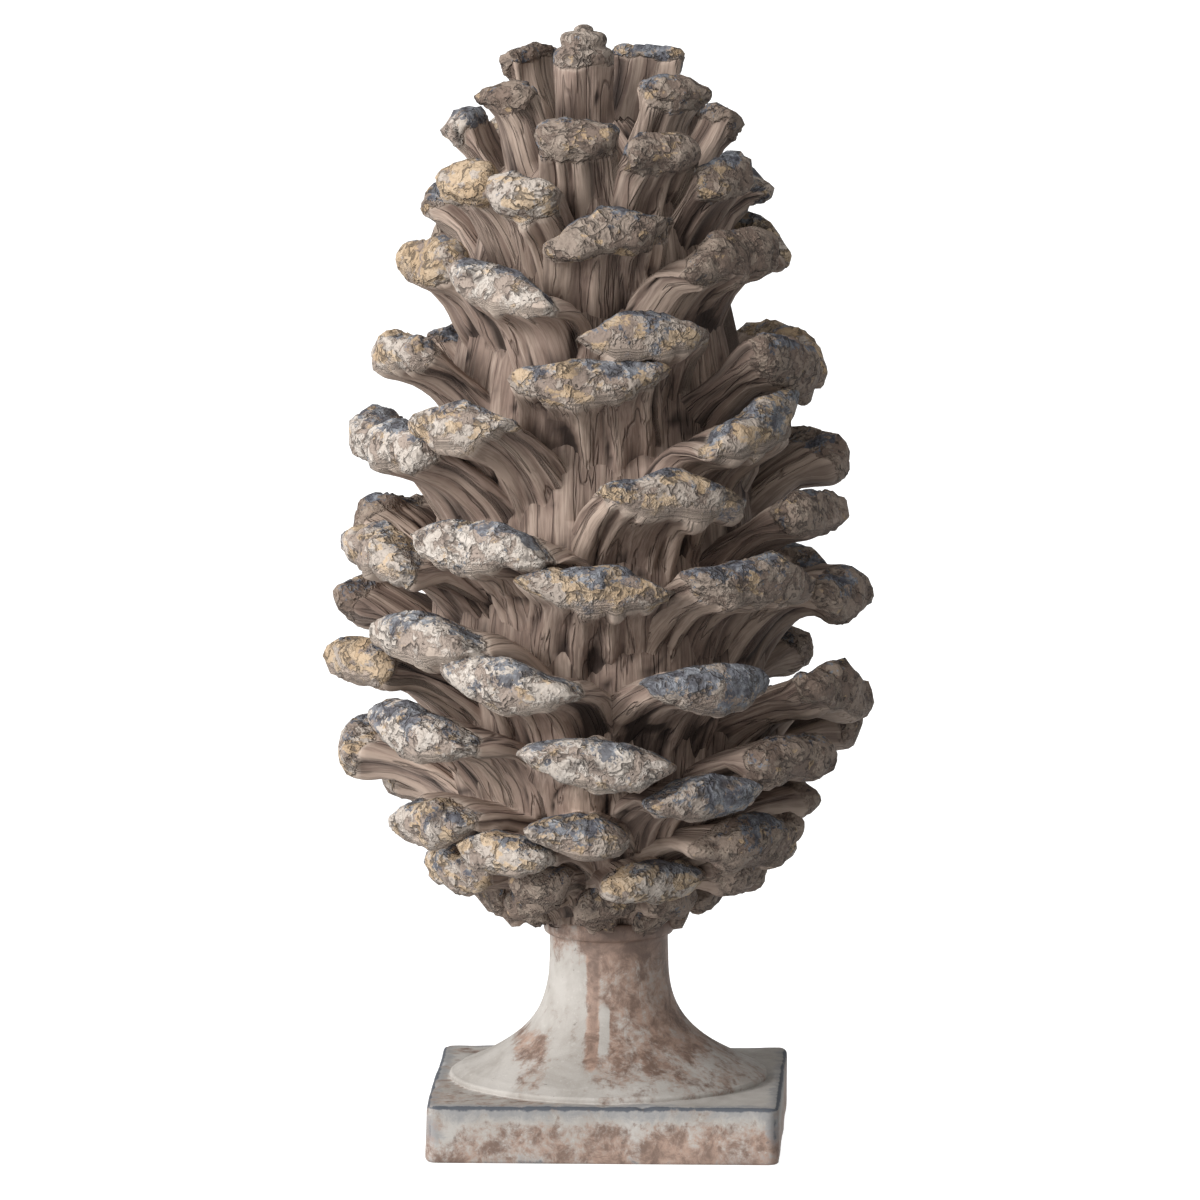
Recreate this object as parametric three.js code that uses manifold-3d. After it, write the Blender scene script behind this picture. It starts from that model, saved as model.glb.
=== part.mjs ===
// A cast pine cone finial: an open cone of woody scales on a turned foot with a square plinth.
// Millimetres, +Z up. The origin is the centre of the plinth's underside, and the front faces -Y.
import * as THREE from 'three';
import { ParametricGeometry } from 'three/addons/geometries/ParametricGeometry.js';
import { mergeVertices } from 'three/addons/utils/BufferGeometryUtils.js';
import Module from 'manifold-3d';

const wasm = await Module();
wasm.setup();

// Plinth
const plinthSide = 189;
const plinthHeight = 31.5;
const plinthCornerRadius = 7;
const plinthEdge = 2.5;

// Turned foot, from the rim on the plinth up to the collar under the cone
const pedestalHeight = 119;
const footMargin = 8.5;
const footRimHeight = 4;
const footHollow = 3.6;
const neckRadius = 32.2;
const collarProud = 3.4;
const collarHeight = 10;
const collarTuck = 2;
const collarRadius = neckRadius + collarProud;
// The bead round the collar, each point as how proud of its tuck it stands and how high up the collar
const collarBead = [[0, 0.15], [1, 0.45], [1, 0.75], [0, 1]];
const turnedSides = 24;
const hollowSteps = 8;

// The cone as a whole. Its axis stands a little to the left of the pedestal's
const coneHeight = 481;
const coneRadius = 149;
const coneShiftX = -6.5;
const seatClearance = 0.6;

// The cone's own forms are free. They are in percent: heights above its seat in percent of its height, and
// reaches, widths and thicknesses in percent of its radius. Angles are in degrees.
// How far the scales reach from the cone's axis
const reachStations = [[0, 29.5], [2, 37.6], [5.4, 59], [8.5, 77], [18, 94], [29, 100], [44, 96],
  [58.5, 88], [75, 72], [86.5, 58], [95, 40], [100, 25.5]];
// How steeply their tips point up
const liftStations = [[1, -30], [8.5, -12], [18, 0], [30, 6], [44, 14], [54, 18], [66, 24], [79, 34],
  [87.5, 50], [94, 66], [100, 78]];
// How far below its tip a scale leaves the core
const dropStations = [[1, 0.8], [8.5, 3.3], [18, 8.3], [29, 13.3], [44, 16.2], [86.5, 20], [100, 23]];

// The core that the scales grow from, as a share of their reach
const coreShare = 0.58;
const coreSides = 12;
const coreRises = [5, 12, 23, 42, 60, 75, 83, 89];
const coreTopShare = 0.35;

// One scale
const rootShare = 0.76;
const riseAngle = 80;
const riseShare = 0.55;
const bendShare = 0.78;
const facePercent = 12;
const faceGrowthShare = 0.11;
const neckPercent = 8.4;
const neckGrowthShare = 0.06;
const wrapShare = 1.15;
// Along a scale from root to tip: place on its spine, width as a share of the face's, and thickness as a mix
// that runs from the neck's at 0 to the face's at 1
const frontStations = [[0.22, 0.7, 1], [0.62, 0.82, 0.1], [0.88, 0.99, 0.8], [0.965, 0.9, 0.86]];
const hindStations = [[0.26, 0.72, 1], [0.64, 0.84, 0.15], [0.94, 0.97, 0.85]];
const skirtStations = [[0, 0.6, 0], [0.55, 0.9, 0.6], [0.9, 0.95, 1]];
// Wide scales that face the front have more sides
const widePercent = 40;
const frontAngle = 75;
const wideSides = 8;
const narrowSides = 6;

// The scales, tier by tier from the top. Each front one is its azimuth, from the front towards +X, its
// height, its face's width, the face's roll, and how far its tip droops below its neighbours' lift. The hind
// ones are evenly spaced between two azimuths, and are given by these, their number and their height.
const tiers = [
  { front: [[-133, 96.7, 28, 0, 0], [-51, 94.2, 26, 14, 0], [48, 94.6, 26, -10, 0], [145, 96.9, 31, 0, 0]],
    hind: [180, 180, 0, 94.8] },
  { front: [[-102, 89.8, 31, 0, 0], [-6, 90.2, 31, 4, 0], [28, 88.8, 31, -8, 0], [114, 90.2, 28, 0, 0]],
    hind: [144, 216, 3, 88.1] },
  { front: [[-53, 84.8, 32, 8, 0], [-25, 84, 30, -4, 0], [7, 80, 47, 6, 0], [60, 85.4, 32, 0, 0]],
    hind: [126, 238, 4, 82.3] },
  { front: [[-131, 76.3, 35, 0, 0], [-63, 75.7, 42, 0, 0], [-26, 73.2, 52, -12, 0], [16, 68.6, 48, 5, 0],
    [49, 76.9, 56, 0, 0]], hind: [128, 190, 2, 75.3] },
  { front: [[-139, 63.2, 40, 0, 0], [-66, 65.3, 44, 0, 0], [-32, 58.4, 46, 4, 0], [0, 63.8, 58, 0, 0],
    [44, 57.8, 55, 18, 0], [66, 62.8, 56, 0, 38]], hind: [118, 185, 3, 62.8] },
  { front: [[-102, 54.5, 47, 0, 0], [-57, 55.1, 52, 0, 0], [-24, 45.7, 59, 0, 0], [19, 51.4, 54, -2, 0],
    [66, 47.8, 50, 0, 0], [112, 52, 50, 0, 0]], hind: [146, 222, 3, 50.3] },
  { front: [[-122, 44.1, 48, 0, 0], [-59, 43.9, 50, 0, 0], [4, 41.2, 58, 0, 0], [40, 41.6, 56, 0, 0],
    [78, 36.4, 51, 0, 44]], hind: [130, 202, 3, 36.6] },
  { front: [[-112, 35.1, 50, 0, 0], [-66, 30.8, 51, 0, 0], [-38, 34.9, 51, -10, 0], [-15, 30.1, 55, -8, 0],
    [27, 29.9, 54, -2, 0], [72, 27.4, 54, -20, 0], [139, 28.1, 42, 0, 0]], hind: [176, 212, 2, 28.3] },
  { front: [[-104, 18.5, 52, 0, 0], [-40, 23.9, 52, -11, 0], [1, 21.8, 55, -3, 0], [30, 17.3, 48, 4, 0],
    [58, 20.8, 50, -8, 0]], hind: [104, 214, 4, 20.8] },
  { front: [[-47, 12.9, 50, 13, 10], [-24, 10.2, 39, -5, 0], [-3, 12.9, 38, 0, 0], [54, 10.4, 56, 0, 4],
    [120, 12.1, 44, 0, 0]], hind: [156, 234, 3, 12.5] },
  { front: [[-58, 6.2, 42, 0, 0], [-18, 6, 24, 0, 0], [23, 6.2, 39, 0, 0], [60, 6.7, 32, 0, 0]],
    hind: [112, 238, 5, 6.7] },
];
const hindWavePercent = 1;
const hindRollAngle = 5;
const hindWidthShare = 0.95;

// Small scales under the cone, in rows round the collar
const skirts = [
  { height: 3.3, width: 23, count: 10, turn: 6 },
  { height: 1.2, width: 17.5, count: 8, turn: 0 },
];

// The leader at the top, as heights and radii from its tip down. It stands left of the cone's axis
const leaderShiftPercent = 4.7;
const leaderProfile = [[100, 0], [99.8, 2.3], [98.7, 3.7], [98.3, 7.4], [97.3, 8.4], [96.9, 9.4],
  [95.4, 11], [93.3, 9.4], [81, 8.7]];
const leaderSides = 10;

const coneColor = '#8a7468';
const washColor = '#b9aea2';

const radians = THREE.MathUtils.degToRad;
const highOf = (percent) => coneHeight * percent / 100;
const wideOf = (percent) => coneRadius * percent / 100;

// Value at x of a line drawn through stations, each a place and a value
function along(stations, x) {
  const next = stations.findIndex(([place]) => place > x);
  if (next === 0) return stations[0][1];
  if (next < 0) return stations.at(-1)[1];
  const [[x0, y0], [x1, y1]] = [stations[next - 1], stations[next]];
  return y0 + (y1 - y0) * (x - x0) / (x1 - x0);
}

// A closed geometry as a solid that can be joined to others
function solid(geometry) {
  const plain = geometry.clone();
  plain.deleteAttribute('normal');
  plain.deleteAttribute('uv');
  const merged = mergeVertices(plain, 1e-3);
  const index = merged.index.array;
  const corners = [];
  for (let i = 0; i < index.length; i += 3) {
    const [a, b, c] = [index[i], index[i + 1], index[i + 2]];
    if (a !== b && b !== c && c !== a) corners.push(a, b, c);
  }
  return new wasm.Manifold(new wasm.Mesh({
    numProp: 3,
    vertProperties: new Float32Array(merged.attributes.position.array),
    triVerts: new Uint32Array(corners),
  }));
}

// A joined solid without the voids that lie sealed between its overlapping pieces
function filled(joined) {
  const [first, ...others] = joined.decompose().filter((shell) => shell.volume() > 0);
  return others.reduce((whole, shell) => whole.add(shell), first);
}

function geometryOf(joined) {
  const mesh = joined.getMesh();
  const positions = new Float32Array(mesh.vertProperties);
  const geometry = new THREE.BufferGeometry();
  geometry.setAttribute('position', new THREE.BufferAttribute(positions, 3));
  geometry.setIndex(new THREE.BufferAttribute(new Uint32Array(mesh.triVerts), 1));
  geometry.computeVertexNormals();
  return geometry;
}

// A turned form about Z through profile points of radius and height, from the bottom up
function turned(profile, sides) {
  const points = profile.map(([radius, height]) => new THREE.Vector2(radius, height));
  return new THREE.LatheGeometry(points, sides).rotateX(Math.PI / 2);
}

// The line that a scale's middle follows, in the upright plane through the cone's axis: x outwards, y up
function spineOf(height, droop) {
  const reach = wideOf(along(reachStations, height));
  const core = reach * coreShare;
  const rise = radians(riseAngle);
  const lift = radians(along(liftStations, height) - droop);
  const drop = highOf(along(dropStations, height));
  const root = new THREE.Vector2(core * rootShare, highOf(height) - drop);
  const tip = new THREE.Vector2(reach, highOf(height));
  const climb = drop * riseShare;
  const bend = (reach - core) * bendShare;
  return new THREE.CubicBezierCurve(
    root,
    new THREE.Vector2(root.x + Math.cos(rise) * climb, root.y + Math.sin(rise) * climb),
    new THREE.Vector2(tip.x - Math.cos(lift) * bend, tip.y - Math.sin(lift) * bend),
    tip,
  );
}

// A scale as rings of points round its spine, closed by a point at the root and one at the tip. Each ring is
// bent round the cone's axis, so that the scale is hollow towards the cone.
function scale([azimuth, height, width, roll, droop], stations, sides) {
  const spine = spineOf(height, droop);
  const wide = wideOf(width);
  const face = wideOf(facePercent) + wide * faceGrowthShare;
  const neck = wideOf(neckPercent) + wide * neckGrowthShare;
  const turn = radians(azimuth);
  const tilt = radians(roll);
  const rings = [[0, 0, 0], ...stations, [1, 0, 1]];
  const tallest = Math.sin(Math.round(sides / 4) * 2 * Math.PI / sides);
  const put = (u, v, target) => {
    const [place, widthShare, mix] = rings[Math.round(v * (rings.length - 1))];
    const middle = spine.getPoint(place);
    const tangent = spine.getTangent(place);
    const angle = u * 2 * Math.PI;
    const halfWide = wide / 2 * widthShare;
    const halfThick = widthShare === 0 ? 0 : THREE.MathUtils.lerp(neck, face, mix) / 2 / tallest;
    const across = Math.cos(angle) * halfWide * Math.cos(tilt * mix);
    const lifted = Math.sin(angle) * halfThick + Math.cos(angle) * halfWide * Math.sin(tilt * mix);
    const outward = middle.x - tangent.y * lifted;
    const wrap = Math.max(outward, wide / 2) * wrapShare;
    const out = outward - wrap * (1 - Math.cos(across / wrap));
    const side = wrap * Math.sin(across / wrap);
    target.set(
      coneShiftX + out * Math.sin(turn) + side * Math.cos(turn),
      -out * Math.cos(turn) + side * Math.sin(turn),
      pedestalHeight + middle.y + tangent.x * lifted,
    );
  };
  return solid(new ParametricGeometry(put, sides, rings.length - 1));
}

function frontScales({ front }) {
  return front.map((row) => {
    const [azimuth, , width] = row;
    const wide = width > widePercent && Math.abs(azimuth) < frontAngle;
    return scale(row, frontStations, wide ? wideSides : narrowSides);
  });
}

// The hind scales of a tier stand alternately a little above and below their height, and roll a little
function hindScales({ hind: [first, last, count, height], front }) {
  const widest = Math.max(...front.map((row) => row[2]));
  return Array.from({ length: count }, (_, i) => {
    const azimuth = first + (last - first) * i / Math.max(count - 1, 1);
    const side = i % 2 ? -1 : 1;
    const high = height + side * hindWavePercent;
    const row = [azimuth, high, widest * hindWidthShare, side * hindRollAngle, 0];
    return scale(row, hindStations, narrowSides);
  });
}

function skirtScales({ height, width, count, turn }) {
  return Array.from({ length: count }, (_, i) => (
    scale([turn + 360 * i / count, height, width, 0, 0], skirtStations, narrowSides)
  ));
}

function core() {
  const seat = collarRadius - collarTuck;
  const wall = coreRises.map((height) => [wideOf(along(reachStations, height)) * coreShare, highOf(height)]);
  const [topRadius, top] = wall.at(-1);
  const profile = [[0, 0], [seat, 0], ...wall.slice(0, -1), [topRadius * coreTopShare, top], [0, top]];
  return solid(turned(profile, coreSides).translate(coneShiftX, 0, pedestalHeight));
}

function leader() {
  const profile = leaderProfile.map(([height, radius]) => [wideOf(radius), highOf(height)]).reverse();
  const closed = [[0, profile[0][1]], ...profile];
  const shift = coneShiftX - wideOf(leaderShiftPercent);
  return solid(turned(closed, leaderSides).translate(shift, 0, pedestalHeight));
}

// The room that the collar takes under the cone's seat
function seatRoom() {
  const radius = collarRadius + seatClearance;
  const profile = [[0, -coneHeight], [radius, -coneHeight], [radius, 0], [0, 0]];
  return solid(turned(profile, turnedSides).translate(0, 0, pedestalHeight));
}

function cone() {
  const large = [...tiers.flatMap(frontScales), ...tiers.flatMap(hindScales)];
  const scales = [...large, ...skirts.flatMap(skirtScales)];
  const joined = scales.reduce((whole, one) => whole.add(one), core().add(leader()));
  return filled(joined.subtract(seatRoom()));
}

// The plinth is a rounded square slab with its edges eased
function plinth() {
  const half = plinthSide / 2 - plinthEdge;
  const radius = plinthCornerRadius - plinthEdge;
  const inset = (half - radius) * Math.SQRT2;
  const outline = new THREE.Shape();
  outline.moveTo(half - radius, -half);
  for (let corner = 0; corner < 4; corner += 1) {
    const start = (corner - 1) * Math.PI / 2;
    const middle = start + Math.PI / 4;
    outline.absarc(Math.cos(middle) * inset, Math.sin(middle) * inset, radius, start, start + Math.PI / 2);
  }
  const slab = new THREE.ExtrudeGeometry(outline, {
    depth: plinthHeight - 2 * plinthEdge,
    bevelThickness: plinthEdge,
    bevelSize: plinthEdge,
    bevelSegments: 1,
    curveSegments: 3,
  });
  return solid(slab.translate(0, 0, plinthEdge));
}

// The foot rises from its rim in a hollow curve that meets the neck upright, under the collar
function turnedFoot() {
  const rim = plinthSide / 2 - footMargin;
  const rimTop = plinthHeight + footRimHeight;
  const bottom = plinthHeight / 2;
  const collarBottom = pedestalHeight - collarHeight;
  const hollow = Array.from({ length: hollowSteps + 1 }, (_, i) => {
    const share = 1 - i / hollowSteps;
    const radius = neckRadius + (rim - neckRadius) * share ** footHollow;
    return [radius, collarBottom - (collarBottom - rimTop) * share];
  });
  const bead = collarBead.map(([proud, share]) => (
    [collarRadius - collarTuck * (1 - proud), collarBottom + collarHeight * share]
  ));
  const profile = [[0, bottom], [rim, bottom], ...hollow, ...bead, [0, pedestalHeight]];
  return solid(turned(profile, turnedSides));
}

function named(name, joined, color, roughness) {
  const material = new THREE.MeshStandardMaterial({ color, roughness, metalness: 0 });
  const mesh = new THREE.Mesh(geometryOf(joined), material);
  mesh.name = name;
  return mesh;
}

const finial = new THREE.Group();
finial.add(named('pinecone', cone(), coneColor, 0.9));
finial.add(named('pedestal', plinth().add(turnedFoot()), washColor, 0.85));

export default finial;
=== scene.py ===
"""A cast pine cone finial over its solids: carved scales with a bark crust, on a washed, turned foot."""
from collections import namedtuple
from itertools import product

import bpy
import numpy as np
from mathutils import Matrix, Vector


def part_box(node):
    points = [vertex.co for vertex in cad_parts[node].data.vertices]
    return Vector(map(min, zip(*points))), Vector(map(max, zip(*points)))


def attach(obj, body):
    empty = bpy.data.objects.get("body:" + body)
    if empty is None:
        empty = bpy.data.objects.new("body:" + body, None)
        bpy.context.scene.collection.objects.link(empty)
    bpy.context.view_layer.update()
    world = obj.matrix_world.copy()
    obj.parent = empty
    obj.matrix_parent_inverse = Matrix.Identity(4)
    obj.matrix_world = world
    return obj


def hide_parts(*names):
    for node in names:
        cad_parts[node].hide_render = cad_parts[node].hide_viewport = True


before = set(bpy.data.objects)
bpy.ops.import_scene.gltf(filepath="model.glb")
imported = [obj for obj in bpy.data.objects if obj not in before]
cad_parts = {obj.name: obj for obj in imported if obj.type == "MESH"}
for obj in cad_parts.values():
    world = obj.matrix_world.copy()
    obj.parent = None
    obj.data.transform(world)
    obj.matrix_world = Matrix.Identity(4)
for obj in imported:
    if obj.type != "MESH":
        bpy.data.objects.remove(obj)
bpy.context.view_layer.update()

MM = 0.001

# Camera: a long lens, a little right of the front and a little above
CAMERA_DISTANCE = 6.056
CAMERA_TURN = np.radians(2.28)
CAMERA_PITCH = np.radians(7.74)
CAMERA_AIM_X = -0.0048
CAMERA_AIM_Z = 0.2903
CAMERA_SPAN = 0.5365 * MM * 1200
SENSOR = 36.0

# The cone, as the solids have it. Its seat is the pedestal's top
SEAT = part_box("pedestal")[1].z
CONE_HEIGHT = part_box("pinecone")[1].z - SEAT
CONE_RADIUS = 149 * MM
CONE_SHIFT_X = -6.5 * MM
CORE_SHARE = 0.58
CORE_SHOULDER, CORE_TOP = 83, 89
CORE_TOP_SHARE = 0.35
ROOT_SHARE = 0.76
RISE_ANGLE = np.radians(80)
RISE_SHARE = 0.55
BEND_SHARE = 0.78
WRAP_SHARE = 1.15
FACE_SHARE, FACE_GROWTH = 0.12, 0.11
NECK_SHARE, NECK_GROWTH = 0.084, 0.06

# By height in percent of the cone's: the reach of a scale's tip in percent of the cone's radius, its lift in
# degrees, and its drop from tip to root in percent of the cone's height
REACH = [(0, 29.5), (2, 37.6), (5.4, 59), (8.5, 77), (18, 94), (29, 100), (44, 96), (58.5, 88), (75, 72),
         (86.5, 58), (95, 40), (100, 25.5)]
LIFT = [(1, -30), (8.5, -12), (18, 0), (30, 6), (44, 14), (54, 18), (66, 24), (79, 34), (87.5, 50), (94, 66),
        (100, 78)]
DROP = [(1, 0.8), (8.5, 3.3), (18, 8.3), (29, 13.3), (44, 16.2), (86.5, 20), (100, 23)]

# The pedestal, as the solids have it
PLINTH_HALF = 94.5 * MM
PLINTH_HEIGHT = 31.5 * MM
PLINTH_CORNER = 7 * MM
PLINTH_EDGE = 2.5 * MM
FOOT_RIM = 86 * MM
FOOT_RIM_HEIGHT = 4 * MM
FOOT_RIM_ROUND = 2.2 * MM
FOOT_HOLLOW = 3.6
NECK = 32.2 * MM
COLLAR = 35.6 * MM
COLLAR_HEIGHT = 10 * MM
COLLAR_TUCK = 2 * MM
PLINTH_GRID = 2.7 * MM
FOOT_GRID = 2.2 * MM
FOOT_SIDES = 208

# The finish on a scale's crust: how much slate wash and ochre stain it carries, and how pale it is
FINISHES = {
    "pale": (0.5, 0.35, 0.95),
    "cream": (0.4, 0.62, 0.75),
    "slate": (1.0, 0.25, 0.45),
    "ochre": (0.2, 1.0, 0.5),
    "brown": (0.2, 0.3, 0.1),
    "mixed": (0.62, 0.6, 0.5),
    "dull": (0.55, 0.42, 0.2),
}
TURNED_FINISH = (0.4, 0.3, 0.35)

# A scale: its azimuth, its height and width in percent, its roll and droop, how much thicker its face is at
# one end, and its finish
Scale = namedtuple("Scale", "azimuth height width roll droop lean finish")

# The scales, tier by tier from the top. The hind ones are given by their first and last azimuth, their number
# and their height.
TIERS = [
    ([
        (-133, 96.7, 28, 0, 0, 0, "brown"),
        (-51, 94.2, 26, 14, 0, 0, "brown"),
        (48, 94.6, 26, -10, 0, 0, "dull"),
        (145, 96.9, 31, 0, 0, 0, "dull"),
    ], (180, 180, 0, 94.8)),
    ([
        (-102, 89.8, 31, 0, 0, 0, "pale"),
        (-6, 90.2, 31, 4, 0, 0, "dull"),
        (28, 88.8, 31, -8, 0, 0, "dull"),
        (114, 90.2, 28, 0, 0, 0, "brown"),
    ], (144, 216, 3, 88.1)),
    ([
        (-53, 84.8, 32, 8, 0, 0, "ochre"),
        (-25, 84, 30, -4, 0, 0, "cream"),
        (7, 80, 47, 6, 0, 0, "dull"),
        (60, 85.4, 32, 0, 0, 0, "dull"),
    ], (126, 238, 4, 82.3)),
    ([
        (-131, 76.3, 35, 0, 0, 0, "brown"),
        (-63, 75.7, 42, 0, 0, 0, "ochre"),
        (-26, 73.2, 52, -12, 0, -0.3, "pale"),
        (16, 68.6, 48, 5, 0, -0.1, "mixed"),
        (49, 76.9, 56, 0, 0, 0.5, "brown"),
    ], (128, 190, 2, 75.3)),
    ([
        (-139, 63.2, 40, 0, 0, 0, "brown"),
        (-66, 65.3, 44, 0, 0, 0, "cream"),
        (-32, 58.4, 46, 4, 0, -0.3, "cream"),
        (0, 63.8, 58, 0, 0, -0.15, "mixed"),
        (44, 57.8, 55, 18, 0, 0.4, "mixed"),
        (66, 62.8, 56, -24, 38, 0, "brown"),
    ], (118, 185, 3, 62.8)),
    ([
        (-102, 54.5, 47, 0, 0, 0, "pale"),
        (-57, 55.1, 52, 0, 0, 0, "pale"),
        (-24, 45.7, 59, 0, 0, -0.4, "pale"),
        (19, 51.4, 54, -2, 0, 0.2, "mixed"),
        (66, 47.8, 50, 0, 0, 0, "brown"),
        (112, 52, 50, 0, 0, 0, "brown"),
    ], (146, 222, 3, 50.3)),
    ([
        (-122, 44.1, 48, 0, 0, 0, "brown"),
        (-59, 43.9, 50, 0, 0, 0, "cream"),
        (4, 41.2, 58, 0, 0, -0.35, "mixed"),
        (40, 41.6, 56, 0, 0, 0.2, "dull"),
        (78, 36.4, 51, 0, 44, 0, "brown"),
    ], (130, 202, 3, 36.6)),
    ([
        (-112, 35.1, 50, 0, 0, 0, "brown"),
        (-66, 30.8, 51, 0, 0, 0, "ochre"),
        (-38, 34.9, 51, -10, 0, -0.3, "pale"),
        (-15, 30.1, 55, -8, 0, -0.45, "pale"),
        (27, 29.9, 54, -2, 0, 0.3, "slate"),
        (72, 27.4, 54, -20, 0, -0.3, "brown"),
        (139, 28.1, 42, 0, 0, 0, "brown"),
    ], (176, 212, 2, 28.3)),
    ([
        (-104, 18.5, 52, 0, 0, 0, "cream"),
        (-40, 23.9, 52, -11, 0, -0.4, "pale"),
        (1, 21.8, 55, -3, 0, 0.25, "pale"),
        (30, 17.3, 48, 4, 0, 0, "slate"),
        (58, 20.8, 50, -8, 0, -0.2, "brown"),
    ], (104, 214, 4, 20.8)),
    ([
        (-47, 12.9, 50, 13, 10, -0.3, "cream"),
        (-24, 10.2, 39, -5, 0, 0, "cream"),
        (-3, 12.9, 38, 0, 0, 0, "mixed"),
        (54, 10.4, 56, 0, 4, 0, "brown"),
        (120, 12.1, 44, 0, 0, 0, "brown"),
    ], (156, 234, 3, 12.5)),
    ([
        (-58, 6.2, 42, 0, 0, 0, "cream"),
        (-18, 6, 24, 0, 0, 0, "brown"),
        (23, 6.2, 39, 0, 0, 0, "cream"),
        (60, 6.7, 32, 0, 0, 0, "brown"),
    ], (112, 238, 5, 6.7)),
]
HIND_WAVE = 1
HIND_ROLL = 5
HIND_WIDTH_SHARE = 0.95
HIND_FINISHES = ["brown", "mixed", "cream", "slate", "ochre"]

# Rows of small scales round the collar: height and width in percent, number and turn
SKIRTS = [(3.3, 23, 10, 6), (1.2, 17.5, 8, 0)]

# The leader: heights in percent of the cone's and radii in percent of its radius, from the tip down
LEADER_SHIFT = 4.7
LEADER = [(100, 0.8), (99.8, 2.6), (99.5, 3.4), (99.2, 3.5), (99.1, 6.4), (98.8, 7.9), (98.3, 8.5),
          (97.8, 8.2), (97.5, 7.6), (97.3, 9.4), (96.8, 10.7), (95.8, 11), (94.5, 10.6), (92, 9.8),
          (81, 8.7)]

# Along a scale from root to tip: place on its spine, and the value there
WIDTH_STATIONS = [(0, 0.8), (0.22, 0.9), (0.45, 0.93), (0.62, 0.91), (0.74, 0.92), (0.85, 0.96), (0.91, 1.0),
                  (0.96, 0.96)]
THICK_STATIONS = [(0, 1.0), (0.24, 0.95), (0.45, 0.5), (0.62, 0.12), (0.72, 0.14), (0.82, 0.5), (0.88, 0.88),
                  (0.92, 1.0), (0.96, 0.92)]
UNDER_STATIONS = [(0, 1.0), (0.24, 0.95), (0.45, 0.55), (0.6, 0.32), (0.72, 0.45), (0.82, 0.74), (0.89, 0.95),
                  (0.93, 1.0), (0.96, 0.9)]
ROUND_STATIONS = [(0, 0.42), (0.6, 0.42), (0.85, 0.7), (0.95, 0.88)]
BODY_PLACE = 0.06
LIP_PLACE = 0.8
CAP_PLACE = 0.955
LIP_FADE = (0.7, 0.9)
# How far a blunt face's outline is filled out, and how far one end of a face may hang
BLUNTNESS = 0.36
HANG_SHARE = 0.75

# The distance between points on a front scale and on the others, and how much wider the body's rings stand
GRID = 2.5 * MM
HIND_GRID = 4.6 * MM
BODY_SPREAD = 2.7
# Across a ring, from -1 to 1: where its long sides meet its rounded ends
RING_CORNER = 0.92

# Relief in millimetres: of the grooves along a scale's body, and of the crust on its face
GROOVE_ACROSS, GROOVE_ALONG = 9, 60
PLEAT_DEPTH, FOLD_DEPTH, FINE_DEPTH, SPLIT_DEPTH, GROOVE_SINK = 2.2, 7.5, 1.2, 1.8, 2.4
LUMP_DEPTH, LAYER_DEPTH, CRACK_DEPTH, PIT_DEPTH, GRIT_DEPTH = 1.4, 0.8, 1.5, 1.5, 0.35

# Where each kind of random relief starts counting its seeds
CORE_SEED, LEADER_SEED, FOOT_SEED, PLINTH_SEED, CHIP_SEED = 900, 910, 300, 310, 320
FRONT_SEED, HIND_SEED, SKIRT_SEED = 1, 101, 201
# Large odd numbers that scatter neighbouring cells
SCATTER = (374761393, 668265263, 1440662683, 974634777)


# Numbers

def along(stations, x):
    places, values = zip(*stations)
    return np.interp(x, places, values)


def blend(x, low, high):
    """0 below low, 1 above high, and a smooth rise between them"""
    t = np.clip((x - low) / (high - low), 0, 1)
    return t * t * (3 - 2 * t)


def hashed(cells, seed):
    """A fixed number from 0 to 1 for each whole-number cell"""
    mask = 0xFFFFFFFF
    n = seed * SCATTER[3]
    for k in range(3):
        n = n + cells[..., k] * SCATTER[k]
    n = n & mask
    n = ((n ^ (n >> 13)) * 1274126177) & mask
    n = ((n ^ (n >> 16)) * 69069) & mask
    return ((n >> 8) & 0xFFFF) / 0xFFFF


def noise(points, seed):
    """Smooth noise from -1 to 1"""
    base = np.floor(points).astype(np.int64)
    part = points - base
    part = part * part * (3 - 2 * part)
    total = np.zeros(points.shape[:-1])
    for corner in product((0, 1), repeat=3):
        weight = np.prod(np.where(corner, part, 1 - part), axis=-1)
        total += weight * hashed(base + corner, seed)
    return total * 2 - 1


def layered(points, seed, layers=3):
    total = np.zeros(points.shape[:-1])
    for layer in range(layers):
        total += noise(points * 2 ** layer, seed + layer) / 2 ** layer
    return total


# Meshes

class Skin:
    """Points, faces and, for each point, what its material paints there"""

    def __init__(self, points, faces, grain, paint, pale):
        self.points = points
        self.faces = faces
        self.grain = grain
        self.paint = paint
        self.pale = pale


def mesh_of(skin, name):
    mesh = bpy.data.meshes.new(name)
    mesh.from_pydata(skin.points.tolist(), [], skin.faces)
    corners = np.zeros(len(mesh.loops), dtype=np.int32)
    mesh.loops.foreach_get("vertex_index", corners)
    grain = mesh.attributes.new("grain", "FLOAT_VECTOR", "CORNER")
    grain.data.foreach_set("vector", skin.grain[corners].ravel())
    paint = mesh.attributes.new("paint", "FLOAT_COLOR", "CORNER")
    paint.data.foreach_set("color", skin.paint[corners].ravel())
    pale = mesh.attributes.new("pale", "FLOAT", "CORNER")
    pale.data.foreach_set("value", skin.pale[corners])
    return mesh


def grain_of(round_at, along_at, seed):
    """A place in the grain: how far round and along a form, with each form in its own layer"""
    return np.stack([round_at, along_at, np.full(len(round_at), seed * 0.037)], axis=-1)


def normals_of(points, faces):
    """Unit normals at the points of a surface of four-sided faces"""
    quads = np.array(faces)
    a, b, c, d = (points[quads[:, k]] for k in range(4))
    flat = np.cross(c - a, d - b)
    total = np.zeros_like(points)
    for k in range(4):
        np.add.at(total, quads[:, k], flat)
    return total / np.maximum(np.linalg.norm(total, axis=1, keepdims=True), 1e-12)


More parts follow.
